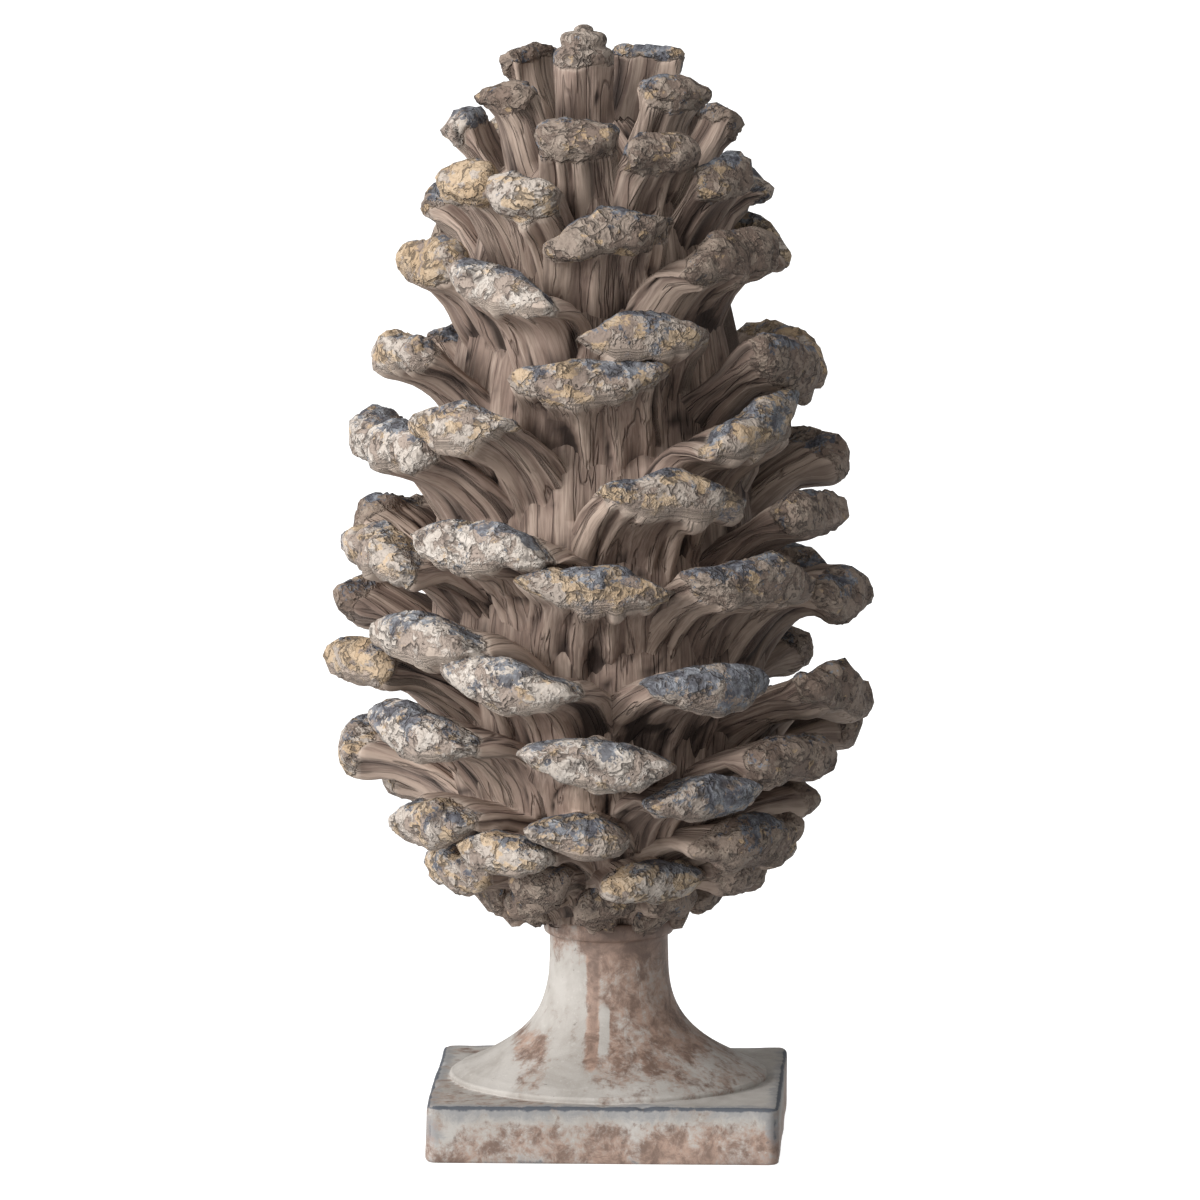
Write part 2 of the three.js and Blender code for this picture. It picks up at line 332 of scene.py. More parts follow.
def ring_faces(rings, around, start=0):
    faces = []
    for i in range(rings - 1):
        low = start + i * around
        high = low + around
        for j in range(around):
            k = (j + 1) % around
            faces.append((low + j, low + k, high + k, high + j))
    return faces


def united(meshes):
    """Joins closed meshes into one without the parts that lie inside it, pair by pair"""
    scene = bpy.context.scene.collection
    while len(meshes) > 1:
        pairs = [meshes[i:i + 2] for i in range(0, len(meshes), 2)]
        meshes = []
        for pair in pairs:
            if len(pair) == 1:
                meshes.append(pair[0])
                continue
            first, second = (bpy.data.objects.new("joining", mesh) for mesh in pair)
            scene.objects.link(first)
            scene.objects.link(second)
            union = first.modifiers.new("union", "BOOLEAN")
            union.operation = "UNION"
            union.solver = "MANIFOLD"
            union.object = second
            depsgraph = bpy.context.evaluated_depsgraph_get()
            meshes.append(bpy.data.meshes.new_from_object(first.evaluated_get(depsgraph)))
            for obj in (first, second):
                bpy.data.objects.remove(obj)
            for mesh in pair:
                bpy.data.meshes.remove(mesh)
    return meshes[0]


def piece(name, mesh, node):
    mesh.name = name
    obj = bpy.data.objects.new(name, mesh)
    bpy.context.scene.collection.objects.link(obj)
    mesh.shade_smooth()
    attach(obj, "root")
    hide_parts(node)
    return obj


# Scales

def spine_of(height, droop):
    reach = along(REACH, height) / 100 * CONE_RADIUS
    core = reach * CORE_SHARE
    lift = np.radians(along(LIFT, height) - droop)
    drop = along(DROP, height) / 100 * CONE_HEIGHT
    high = height / 100 * CONE_HEIGHT
    root = np.array([core * ROOT_SHARE, high - drop])
    tip = np.array([reach, high])
    climb = drop * RISE_SHARE
    bend = (reach - core) * BEND_SHARE
    return np.array([
        root,
        root + climb * np.array([np.cos(RISE_ANGLE), np.sin(RISE_ANGLE)]),
        tip - bend * np.array([np.cos(lift), np.sin(lift)]),
        tip,
    ])


def on_spine(spine, t):
    t = t[:, None]
    s = 1 - t
    middle = s ** 3 * spine[0] + 3 * s * s * t * spine[1] + 3 * s * t * t * spine[2] + t ** 3 * spine[3]
    slope = s * s * (spine[1] - spine[0]) + 2 * s * t * (spine[2] - spine[1]) + t * t * (spine[3] - spine[2])
    return middle, slope / np.linalg.norm(slope, axis=1, keepdims=True)


def put_on_cone(azimuth, wide, middle, slope, across, lifted):
    """Points across and above a scale's spine, bent round the cone's axis"""
    turn = np.radians(azimuth)
    outward = middle[..., 0] - slope[..., 1] * lifted
    wrap = np.maximum(outward, wide / 2) * WRAP_SHARE
    out = outward - wrap * (1 - np.cos(across / wrap))
    side = wrap * np.sin(across / wrap)
    return np.stack([
        CONE_SHIFT_X + out * np.sin(turn) + side * np.cos(turn),
        -out * np.cos(turn) + side * np.sin(turn),
        SEAT + middle[..., 1] + slope[..., 0] * lifted,
    ], axis=-1)


def face_height(wide):
    return FACE_SHARE * CONE_RADIUS + wide * FACE_GROWTH


def ring_angles(tops, ends):
    """Angles round a ring: the two long sides evenly across, the two ends evenly in angle"""
    end_angle = np.arccos(RING_CORNER)
    end = np.linspace(-end_angle, end_angle, ends, endpoint=False)
    upper = np.arccos(np.linspace(RING_CORNER, -RING_CORNER, tops, endpoint=False))
    return np.concatenate([end, upper, end + np.pi, upper + np.pi])


def uneven_lip(across, lifted, thick, angles, share, lean, seed):
    """A lip whose outline wavers, fuller below than above, arched, and lower at one end than at the other"""
    sine, cosine = np.sin(angles), np.cos(angles)
    ring_noise = np.stack([cosine * 2.2, sine * 1.6, np.full(len(angles), seed * 3.7)], axis=-1)
    waver = noise(ring_noise, seed) * 0.12 + noise(ring_noise * 2.7, seed + 5) * 0.07
    slant = lean + noise(np.full((1, 3), seed * 1.7), seed + 6) * 0.2
    waver = waver + slant * cosine * 0.6
    across = across * (1 + waver * share * 0.6)
    lifted = lifted * (1 + (waver * 1.4 + np.where(sine < 0, 0.12, -0.1)) * share)
    arch = noise(np.array([[seed * 2.3, 0.5, 0.5]]), seed + 7)[0] * 0.5 - 0.1
    lifted = lifted - arch * cosine ** 2 * thick * share
    hang = 2 * hashed(np.array([seed, 5, 2]), 11) - 1
    lifted = lifted - HANG_SHARE * abs(hang) * blend(np.sign(hang) * cosine, 0.15, 1) * thick * share
    return across, lifted


def ring_shapes(scale, wide, angles, places, seed):
    """How far each point of a scale's rings lies across its spine and above it"""
    neck = NECK_SHARE * CONE_RADIUS + wide * NECK_GROWTH
    sine = np.sin(angles)
    over = along(THICK_STATIONS, places)[:, None]
    growth = np.where(sine < 0, along(UNDER_STATIONS, places)[:, None], over)
    thick = (neck + (face_height(wide) - neck) * growth) / 2
    lip_share = blend(places, *LIP_FADE)[:, None]
    # Faces at the sides and at the top are blunter than the broad ones in front
    blunt = max(blend(abs(scale.azimuth), 25, 65), blend(-scale.width, -44, -30))
    power = along(ROUND_STATIONS, places)[:, None] - BLUNTNESS * blunt * lip_share
    widths = along(WIDTH_STATIONS, places)[:, None] * wide / 2
    across = np.cos(angles) * widths
    lifted = np.sign(sine) * np.abs(sine) ** (2 * power) * thick
    across, lifted = uneven_lip(across, lifted, thick, angles, lip_share, scale.lean, seed)
    tilt = np.radians(scale.roll) * over
    return across * np.cos(tilt), lifted + across * np.sin(tilt)


def crust_cover(scale, points, place_at, height_at, seed):
    """How far the crust covers each point, from 0 to 1: ragged behind the lip, and fading low on the face"""
    # It runs further down the outer side of the steep scales near the top, and stops short on the others
    steep = blend(scale.height, 72, 84)
    ragged = layered(points / (9 * MM), seed + 20)
    start = 0.9 - 0.05 * blend(height_at, 0, 0.6) - 0.1 * steep * blend(-height_at, -0.2, 0.5) + ragged * 0.02
    bare = -0.95 + 0.45 * hashed(np.array([seed, 3, 8]), 9) - steep
    fading = blend(height_at + ragged * 0.35, bare - 0.35, bare + 0.35)
    return blend(place_at, start - 0.03, start + 0.03) * (0.3 + 0.7 * fading)


def scale_skin(scale, seed, grid):
    """A scale: a grooved body that bends out of the core, and a crusted face with a rounded lip"""
    wide = scale.width / 100 * CONE_RADIUS
    spine = spine_of(scale.height, scale.droop)
    length = np.linalg.norm(spine[3] - spine[0]) * 1.1
    tops = max(10, int(round(wide / grid)))
    ends = max(4, int(round(face_height(wide) * 0.6 / grid)))
    angles = ring_angles(tops, ends)
    body = np.linspace(BODY_PLACE, LIP_PLACE, max(5, int(round(length * 0.74 / (grid * BODY_SPREAD)))))
    lip = np.linspace(LIP_PLACE, CAP_PLACE, 3 + int(round(length * 0.16 / (grid * 0.9))))[1:]
    places = np.concatenate([body, lip])
    middle, slope = on_spine(spine, places)
    leaned, raised = ring_shapes(scale, wide, angles, places, seed)
    shape = leaned.shape
    count = len(angles)

    # The cap closes the face: a domed grid whose edge is the last ring, with a keel across it
    edge = np.stack([leaned[-1], raised[-1]], axis=-1)
    inner, cap_faces, dome = cap_grid(edge, tops, ends, (len(places) - 1) * count, len(places) * count)
    cap_middle, cap_slope = on_spine(spine, np.full(1, CAP_PLACE))
    dome_high = (1 - CAP_PLACE) * np.linalg.norm(spine[3] - spine[2]) * 3 * 1.1
    upper = inner[:, 1] / np.abs(edge[:, 1]).max()
    keel = np.clip(1 - np.abs(upper - 0.15) * 1.3, 0, 1)
    domed = dome * (0.75 + 0.35 * keel)
    cap_centre = cap_middle + cap_slope * (domed * dome_high)[:, None]
    cap_slopes = np.repeat(cap_slope, len(inner), 0)

    ring_points = put_on_cone(scale.azimuth, wide, middle[:, None], slope[:, None], leaned, raised)
    cap_points = put_on_cone(scale.azimuth, wide, cap_centre, cap_slopes, inner[:, 0], inner[:, 1])
    points = np.concatenate([ring_points.reshape(-1, 3), cap_points])
    quads = ring_faces(*shape) + cap_faces

    def spread(on_rings, on_cap):
        return np.concatenate([np.broadcast_to(on_rings, shape).ravel(), np.broadcast_to(on_cap, len(inner))])

    # What each point knows of itself: round the scale, along it, how far out, how low and how high
    sweep = np.concatenate([[0], np.cumsum(np.linalg.norm(np.diff(middle, axis=0), axis=1))])
    girth = np.linalg.norm(np.diff(ring_points[len(body) // 2], axis=0), axis=1)
    girth = np.concatenate([[0], np.cumsum(girth)])
    round_at = spread(girth, girth[count // 4])
    along_at = spread(sweep[:, None], sweep[-1])
    place_at = spread(places[:, None], 1.0)
    under = spread(-np.sin(angles), 0.0)
    height_at = spread(np.sin(angles), upper)

    crust = crust_cover(scale, points, place_at, height_at, seed)
    grooves, body_light_and_shade = groove(round_at, along_at, place_at, under, seed)
    bark, bark_light_and_shade = crusted(points, seed)
    bark = bark * (0.5 + 0.6 * blend(abs(scale.azimuth), 30, 60)) * np.sqrt(GRID / grid)
    sway = layered(points / (26 * MM), 3, 2) * 1.6 * MM * blend(place_at, 0.1, 0.5)
    barked = np.maximum(crust, 0.5 * blend(place_at, 0.88, 0.95))
    depth = grooves * (1 - barked) + bark * barked + sway
    points = points + normals_of(points, quads) * depth[:, None]

    # The paint's second channel is painted light and shade, from the body's grooves and from the crust
    relief = body_light_and_shade * (1 - crust) + bark_light_and_shade * crust
    slate, ochre, pale = FINISHES[scale.finish]
    slate = np.clip(0.8 * slate + 0.45 * height_at * crust, 0, 1)
    grain = grain_of(round_at, along_at, seed)
    paint = np.stack([crust, relief, slate, np.full(len(points), ochre)], axis=-1)
    root_cap = [tuple(range(count - 1, -1, -1))]
    return Skin(points, quads + root_cap, grain, paint, np.full(len(points), pale))


def cap_grid(edge, tops, ends, ring_start, inner_start):
    """A grid of faces inside a closed edge: its inner points, its faces, and how domed each point is"""
    count = len(edge)
    columns, rows = tops, ends
    # The edge runs up its right end, along the top to the left, down the left end, and back along the bottom
    index = np.zeros((rows + 1, columns + 1), dtype=int)
    for j in range(rows + 1):
        index[j, columns] = j
        index[j, 0] = tops + 2 * ends - j
    for i in range(columns + 1):
        index[rows, columns - i] = ends + i
        index[0, i] = (tops + 2 * ends + i) % count
    x, y = np.meshgrid(np.arange(columns + 1) / columns, np.arange(rows + 1) / rows)
    at = edge[index % count]
    left, right, low, high = at[:, :1], at[:, -1:], at[:1], at[-1:]
    x, y = x[..., None], y[..., None]
    corners = (at[0, 0] * (1 - x) * (1 - y) + at[0, -1] * x * (1 - y)
               + at[-1, 0] * (1 - x) * y + at[-1, -1] * x * y)
    flat = left * (1 - x) + right * x + low * (1 - y) + high * y - corners
    dome = np.clip((1 - (2 * x - 1) ** 2) * (1 - (2 * y - 1) ** 2), 0, 1)[..., 0] ** 0.42
    number = index % count + ring_start
    inner_number = inner_start + np.arange((rows - 1) * (columns - 1)).reshape(rows - 1, columns - 1)
    number[1:-1, 1:-1] = inner_number
    faces = []
    for j in range(rows):
        for i in range(columns):
            faces.append((number[j, i], number[j, i + 1], number[j + 1, i + 1], number[j + 1, i]))
    faces = [tuple(int(n) for n in face) for face in faces]
    return flat[1:-1, 1:-1].reshape(-1, 2), faces, dome[1:-1, 1:-1].ravel()


def groove(round_at, along_at, place, under, seed):
    """Carved grooves that run along a scale's body: their depth, and painted light and shade from 0 to 1,
    lighter on the folds and darker in the grooves and towards the root
    """
    across, length = round_at / (GROOVE_ACROSS * MM), along_at / (GROOVE_ALONG * MM)
    drift = np.stack([across, length, np.full(len(round_at), seed * 1.3)], axis=-1)
    pleat = noise(drift * (0.38, 0.6, 1), seed + 33)
    fold = np.abs(noise(drift * (1.0, 0.45, 1), seed + 30))
    fine = np.abs(noise(drift * (1.7, 0.6, 1), seed + 31))
    split = 1 - blend(np.abs(noise(drift * (0.45, 0.7, 1), seed + 32)), 0, 0.1)
    outer = 0.45 + 0.55 * blend(under, -0.4, 0.4)
    fade = blend(place, 0.05, 0.3) * outer
    depth = pleat * PLEAT_DEPTH + fold * FOLD_DEPTH + fine * FINE_DEPTH - GROOVE_SINK - split * SPLIT_DEPTH
    root = 1 - blend(place, 0.3, 0.65)
    # Painted light and shade: lighter on the high folds, painted shade in the grooves and deep towards the
    # scale's root
    relief = np.clip(0.3 + pleat * 0.1 + fold * 1.1 + fine * 0.3 - split * 0.35 - root * 0.26, 0, 1)
    return depth * MM * fade, relief


def crusted(points, seed):
    """Bark crust on a face, of lumps, stepped layers, cracks and pits: its depth, and painted light and
    shade, lighter on the lumps and darker in the cracks and pits
    """
    push = np.stack([noise(points / (12 * MM), seed + k) for k in (41, 42, 43)], axis=-1)
    bent = points + push * 4 * MM
    lumps = layered(bent / (17 * MM), seed + 40)
    level = layered(bent / (21 * MM), seed + 50) * 3.2
    layer = np.floor(level) + blend(level - np.floor(level), 0, 0.3)
    crack = 1 - blend(np.abs(noise(bent / (15 * MM), seed + 45)), 0, 0.09)
    pit = blend(noise(points / (6 * MM), seed + 46), 0.45, 0.8)
    grit = noise(points / (2.8 * MM), seed + 44)
    depth = lumps * LUMP_DEPTH + layer * LAYER_DEPTH - crack * CRACK_DEPTH - pit * PIT_DEPTH
    depth = depth + grit * GRIT_DEPTH
    # Painted light and shade: lighter on high lumps and grit, painted shade in the cracks and pits
    relief = np.clip(0.62 + lumps * 0.12 + grit * 0.08 - crack * 0.4 - pit * 0.4, 0, 1)
    return depth * MM, relief


def front_rows():
    return [Scale(*row) for front, _ in TIERS for row in front]


def hind_rows():
    rows = []
    for front, (first, last, count, height) in TIERS:
        widest = max(Scale(*row).width for row in front) * HIND_WIDTH_SHARE
        for i in range(count):
            azimuth = first + (last - first) * i / max(count - 1, 1)
            side = -1 if i % 2 else 1
            finish = HIND_FINISHES[len(rows) % len(HIND_FINISHES)]
            rows.append(Scale(azimuth, height + side * HIND_WAVE, widest, side * HIND_ROLL, 0, 0, finish))
    return rows


def skirt_rows():
    rows = []
    for height, width, count, turn in SKIRTS:
        for i in range(count):
            rows.append(Scale(turn + 360 * i / count, height, width, 0, 0, 0, "brown"))
    return rows


def turned_skin(profile, sides, shift_x, rough, crust_rough, seed, crust_from):
    """A rough turned form from (radius, height) pairs, bottom up, crusted above a height"""
    radii, heights = (np.array(values) for values in zip(*profile))
    rings = len(radii)
    angles = np.arange(sides) * 2 * np.pi / sides
    points = np.stack([
        shift_x + radii[:, None] * np.cos(angles),
        radii[:, None] * np.sin(angles),
        np.broadcast_to(heights[:, None], (rings, sides)),
    ], axis=-1).reshape(-1, 3)
    quads = ring_faces(rings, sides)
    normals = normals_of(points, quads)
    bark, relief = crusted(points, seed)
    around = np.broadcast_to(angles * radii.max(), (rings, sides)).ravel()
    grooves, _ = groove(around, points[:, 2], np.ones(len(points)), np.ones(len(points)), seed)
    ragged = noise(points / (6 * MM), seed) * 2 * MM
    crust = blend(points[:, 2] + ragged, crust_from - 2 * MM, crust_from + 2 * MM)
    points = points + normals * (bark * crust * crust_rough + grooves * (1 - crust) * rough)[:, None]
    caps = [tuple(range(sides - 1, -1, -1)), tuple(range((rings - 1) * sides, rings * sides))]
    grain = grain_of(around, points[:, 2], seed)
    slate, ochre, pale = (np.full(len(points), value) for value in TURNED_FINISH)
    paint = np.stack([crust, relief, slate, ochre], axis=-1)
    return Skin(points, quads + caps, grain, paint, pale)


def core_skin():
    heights = np.linspace(0, CORE_TOP, 60)
    taper = 1 - (1 - CORE_TOP_SHARE) * np.clip((heights - CORE_SHOULDER) / (CORE_TOP - CORE_SHOULDER), 0, 1)
    radii = along(REACH, heights) / 100 * CONE_RADIUS * CORE_SHARE * taper
    seated = np.maximum(radii, (COLLAR - COLLAR_TUCK) * (heights < 5))
    profile = list(zip(seated, SEAT + heights / 100 * CONE_HEIGHT))
    return turned_skin(profile, 90, CONE_SHIFT_X, 1.0, 1.0, CORE_SEED, SEAT + CONE_HEIGHT)


def leader_skin():
    """The stacked knobs at the very top, on their grooved stem"""
    places, radii = (np.array(values) for values in zip(*reversed(LEADER)))
    heights = np.unique(np.concatenate([np.linspace(81, 94, 8), np.linspace(94.3, 99.9, 26)]))
    rounded = np.maximum(np.interp(heights, places, radii), 1.2)
    profile = list(zip(rounded / 100 * CONE_RADIUS, SEAT + heights / 100 * CONE_HEIGHT))
    shift = CONE_SHIFT_X - LEADER_SHIFT / 100 * CONE_RADIUS
    return turned_skin(profile, 48, shift, 0.55, 0.09, LEADER_SEED, SEAT + 0.955 * CONE_HEIGHT)


def build_cone():
    skins = [core_skin(), leader_skin()]
    groups = (
        (front_rows(), FRONT_SEED, GRID),
        (hind_rows(), HIND_SEED, HIND_GRID),
        (skirt_rows(), SKIRT_SEED, HIND_GRID),
    )
    for rows, first_seed, grid in groups:
        skins += [scale_skin(row, first_seed + i, grid) for i, row in enumerate(rows)]
    mesh = united([mesh_of(skin, "scale") for skin in skins])
    return piece("pinecone_relief", mesh, "pinecone")


# Pedestal

def evenly(profile, grid):
    """A profile's line with points set evenly along it"""
    points = np.array(profile)
    lengths = np.concatenate([[0], np.cumsum(np.linalg.norm(np.diff(points, axis=0), axis=1))])
    places = np.linspace(0, lengths[-1], int(lengths[-1] / grid) + 1)
    return np.stack([np.interp(places, lengths, points[:, k]) for k in (0, 1)], axis=-1)


def foot_profile():
    """Radius and height up the foot: a thin rounded rim, a hollow sweep, and the bead of the collar"""
    rim_top = PLINTH_HEIGHT + FOOT_RIM_HEIGHT
    collar_bottom = SEAT - COLLAR_HEIGHT
    rim = [(FOOT_RIM - 1 * MM, PLINTH_HEIGHT - 3 * MM), (FOOT_RIM - 0.2 * MM, PLINTH_HEIGHT + 0.3 * MM)]
    for a in np.linspace(0, np.pi / 2, 6):
        height = rim_top - 0.4 * MM - FOOT_RIM_ROUND * (1 - np.sin(a))
        rim.append((FOOT_RIM - FOOT_RIM_ROUND * (1 - np.cos(a)), height))
    sweep = [(NECK + (FOOT_RIM - NECK) * s ** FOOT_HOLLOW, collar_bottom - (collar_bottom - rim_top) * s)
             for s in np.linspace(0.97, 0, 80)]
    bead = [(COLLAR - COLLAR_TUCK + COLLAR_TUCK * np.cos(a), SEAT - COLLAR_HEIGHT * 0.46 * (1 - np.sin(a)))
            for a in np.linspace(-np.pi / 2, np.pi / 2, 12)]
    return rim, sweep, bead


def foot_skin():
    rim, sweep, bead = foot_profile()
    profile = np.concatenate([np.array(rim), evenly(sweep, FOOT_GRID), np.array(bead)])
    radii, heights = profile.T
    rings = len(radii)
    angles = np.arange(FOOT_SIDES) * 2 * np.pi / FOOT_SIDES
    points = np.stack([
        radii[:, None] * np.sin(angles),
        -radii[:, None] * np.cos(angles),
        np.broadcast_to(heights[:, None], (rings, FOOT_SIDES)),
    ], axis=-1).reshape(-1, 3)
    faces = ring_faces(rings, FOOT_SIDES)
    normals = normals_of(points, faces)
    points = points + normals * cast_waves(points, FOOT_SEED)[:, None] * 0.8
    caps = [tuple(range(FOOT_SIDES - 1, -1, -1)), tuple(range((rings - 1) * FOOT_SIDES, rings * FOOT_SIDES))]
    bare = np.zeros(len(points))
    return painted_skin(points, faces + caps, foot_wash(points), bare, bare)


def plinth_ring(inset, count):
    """A rounded square, inset from the plinth's side, as points in order round it"""
    half = PLINTH_HALF - inset
    corner = max(PLINTH_CORNER - inset, 0.5 * MM)
    straight = half - corner
    side = count // 4
    arc = side // 9
    points = []
    for quarter in range(4):
        middle = quarter * np.pi / 2
        turn = np.array([[np.cos(middle), -np.sin(middle)], [np.sin(middle), np.cos(middle)]])
        line = [(straight * (2 * k / (side - arc) - 1), -half) for k in range(side - arc)]
        bend = [(straight + corner * np.sin(a), -straight - corner * np.cos(a))
                for a in np.arange(arc) / arc * np.pi / 2]
        points += [turn @ np.array(p) for p in line + bend]
    return np.array(points)


def plinth_skin():
    """The square slab: rings in from the middle of its underside, up its sides, and in over its top"""
    count = 4 * int(round(2 * PLINTH_HALF / PLINTH_GRID))
    insets = np.concatenate([np.linspace(0.9, 0.25, 5), np.linspace(0.2, 0.06, 3)]) * PLINTH_HALF
    turn = np.linspace(0, np.pi / 2, 5)
    curve = [(PLINTH_EDGE * (1 - np.sin(a)), PLINTH_EDGE * (1 - np.cos(a))) for a in turn]
    profile = [(inset, 0.0) for inset in insets] + curve
    sides = np.linspace(PLINTH_EDGE, PLINTH_HEIGHT - PLINTH_EDGE, 11)[1:-1]
    profile += [(0.0, z) for z in sides]
    profile += [(inset, PLINTH_HEIGHT - z) for inset, z in reversed(curve)]
    profile += [(inset, PLINTH_HEIGHT) for inset in np.linspace(0.05, 0.4, 14) * PLINTH_HALF]
    profile += [(0.9 * PLINTH_HALF, PLINTH_HEIGHT)]
    rings = []
    for inset, z in profile:
        ring = plinth_ring(inset, count)
        rings.append(np.column_stack([ring, np.full(len(ring), z)]))
    points = np.concatenate(rings)
    around = len(rings[0])
    faces = ring_faces(len(rings), around)
    normals = normals_of(points, faces)
    edge = plinth_edge(points, 4.5 * MM)
    flat = blend(points[:, 2], 0.5 * MM, 2 * MM)
    chips = blend(layered(points / (11 * MM), CHIP_SEED), 0.25, 0.9) * edge * 1.6 * MM
    depth = cast_waves(points, PLINTH_SEED) * flat - (chips + 0.35 * MM * edge) * flat
    points = points + normals * depth[:, None]
    caps = [tuple(range(around - 1, -1, -1)), tuple(range((len(rings) - 1) * around, len(rings) * around))]
    return painted_skin(points, faces + caps, plinth_wash_and_light(points), edge, plinth_edge(points, 15 * MM))


def plinth_edge(points, reach):
    """1 along the plinth's edges, fading to 0 within a reach, and fainter round its foot"""
    gaps = np.stack([
        PLINTH_HALF - np.abs(points[:, 0]),
        PLINTH_HALF - np.abs(points[:, 1]),
        np.minimum(PLINTH_HEIGHT - points[:, 2], points[:, 2]),
    ], axis=-1)
    near = 1 - blend(np.sort(gaps, axis=1)[:, 1], 1.0 * MM, reach)
    return near * (0.45 + 0.55 * blend(points[:, 2], 6 * MM, 18 * MM))


def cast_waves(points, seed):
    """The slight unevenness of a cast and rubbed surface"""
    waves = noise(points / (30 * MM), seed) * 0.4 + noise(points / (11 * MM), seed + 1) * 0.2
    pits = blend(noise(points / (4.2 * MM), seed + 2), 0.55, 0.85)
    return (waves - 0.35 - pits * 0.35) * MM


def foot_wash(points):
    """How pale the foot is drawn: paler on the left and low down, darker to the right and under the collar,
    with a darker patch and drip and a pale run
    """
    x, y, z = (points / MM).T
    left = 1 - blend(x, -16, 2)
    low = 1 - blend(z, 36, 52)
    under_collar = blend(z, 92, 112)
    wash_and_light = 0.32 + 0.5 * left + 0.26 * low - 0.42 * under_collar
    patch = blend(x, -56, -46) * (1 - blend(x, -36, -26)) * blend(z, 30, 36) * (1 - blend(z, 54, 66))
    wash_and_light -= 0.5 * patch
    drip = (1 - blend(np.abs(x + 7.5), 2.0, 4.5)) * blend(z, 40, 52) * (y < 0)
    wash_and_light -= 0.5 * drip
    run = (1 - blend(np.abs(x + 0.8), 1.6, 3.0)) * blend(z, 50, 55) * (1 - blend(z, 72, 78)) * (y < 0)
    return wash_and_light + 0.75 * run


def plinth_wash_and_light(points):
    x, y, z = (points / MM).T
    side = 0.48 - 0.16 * blend(x, -30, 60) * (1 - blend(z, 12, 26)) - 0.12 * (1 - blend(z, 5, 22))
    side = side + 0.22 * blend(z, 20, 25)
    # The top is painted lighter to the right: painted light where the cone's shadow falls
    top = 0.62 + 0.4 * blend(x, -20, 60)
    return np.where(z > 30, top, side)


def painted_skin(points, faces, wash_and_light, edge, smudge):
    across = np.arctan2(points[:, 0], -points[:, 1]) * 60 * MM
    grain = np.stack([across, points[:, 2], np.zeros(len(points))], axis=-1)
    paint = np.stack([wash_and_light, edge, smudge, np.ones(len(points))], axis=-1)
    return Skin(points, faces, grain, paint, np.zeros(len(points)))


def build_pedestal():
    mesh = united([mesh_of(foot_skin(), "foot"), mesh_of(plinth_skin(), "plinth")])
    return piece("pedestal_relief", mesh, "pedestal")


# Materials

def rgb(red, green, blue):
    """A colour given as seen on screen, from 0 to 255, as the shader wants it"""
    return [((value / 255 + 0.055) / 1.055) ** 2.4 for value in (red, green, blue)] + [1.0]


class Nodes:
    """A material's node tree, with a short way to add and link nodes"""

    def __init__(self, name):
        self.material = bpy.data.materials.new(name)
        self.material.use_nodes = True
        self.tree = self.material.node_tree
        self.shader = self.tree.nodes["Principled BSDF"]

    def add(self, kind, inputs=None, **settings):
        node = self.tree.nodes.new("ShaderNode" + kind)
        for key, value in settings.items():
            setattr(node, key, value)
        for key, value in (inputs or {}).items():
            self.feed(node.inputs[key], value)
        return node

    def feed(self, socket, value):
        if isinstance(value, bpy.types.NodeSocket):
            self.tree.links.new(value, socket)
        else:
            socket.default_value = value

    def math(self, operation, a, b=0.0):
        node = self.add("Math", operation=operation)
        self.feed(node.inputs[0], a)
        self.feed(node.inputs[1], b)
        return node.outputs[0]

    def plus(self, value, extra, share):
        """A value with a share of another added"""
        return self.math("ADD", value, self.math("MULTIPLY", extra, share))

    def stirred(self, value, pattern, share):
        """A value pushed up and down by a share of a pattern"""
        return self.plus(value, self.math("SUBTRACT", pattern, 0.5), share)

    def rise(self, value, low, high, to_low=0.0, to_high=1.0):
        """A smooth rise of the output as the value goes from low to high"""
        node = self.add("MapRange", interpolation_type="SMOOTHSTEP")
        for key, number in zip(("Value", "From Min", "From Max", "To Min", "To Max"),
                               (value, low, high, to_low, to_high)):
            self.feed(node.inputs[key], number)
        return node.outputs["Result"]

    def mix(self, share, a, b):
        node = self.add("Mix", data_type="RGBA")
        self.feed(node.inputs[0], share)
        self.feed(node.inputs[6], a)
        self.feed(node.inputs[7], b)
        return node.outputs[2]

    def over(self, base, colour, mask, share):
        """A share of a colour laid over another where the mask is"""
        return self.mix(self.math("MULTIPLY", mask, share), base, colour)

    def noise(self, where, scale, detail, rough, warp=0.0):
        inputs = {"Vector": where, "Scale": scale, "Detail": detail, "Roughness": rough, "Distortion": warp}
        return self.add("TexNoise", inputs).outputs["Fac"]

    def stretched(self, where, scale):
        return self.add("VectorMath", {0: where, 1: scale}, operation="MULTIPLY").outputs[0]

    def off(self, value, middle):
        """How far a value is from the middle, either way"""
        return self.math("ABSOLUTE", self.math("SUBTRACT", value, middle))

    def warped(self, where, scale, reach):
        """A place pushed about by noise"""
        push = self.add("TexNoise", {"Vector": where, "Scale": scale, "Detail": 2.0}).outputs["Color"]
        centred = self.add("VectorMath", {0: push, 1: (0.5,) * 3}, operation="SUBTRACT").outputs[0]
        scaled = self.add("VectorMath", {0: centred, 1: (reach,) * 3}, operation="MULTIPLY").outputs[0]
        return self.add("VectorMath", {0: where, 1: scaled}, operation="ADD").outputs[0]

    def bump(self, height, strength, distance):
        inputs = {"Height": height, "Strength": strength, "Distance": distance}
        return self.add("Bump", inputs).outputs["Normal"]


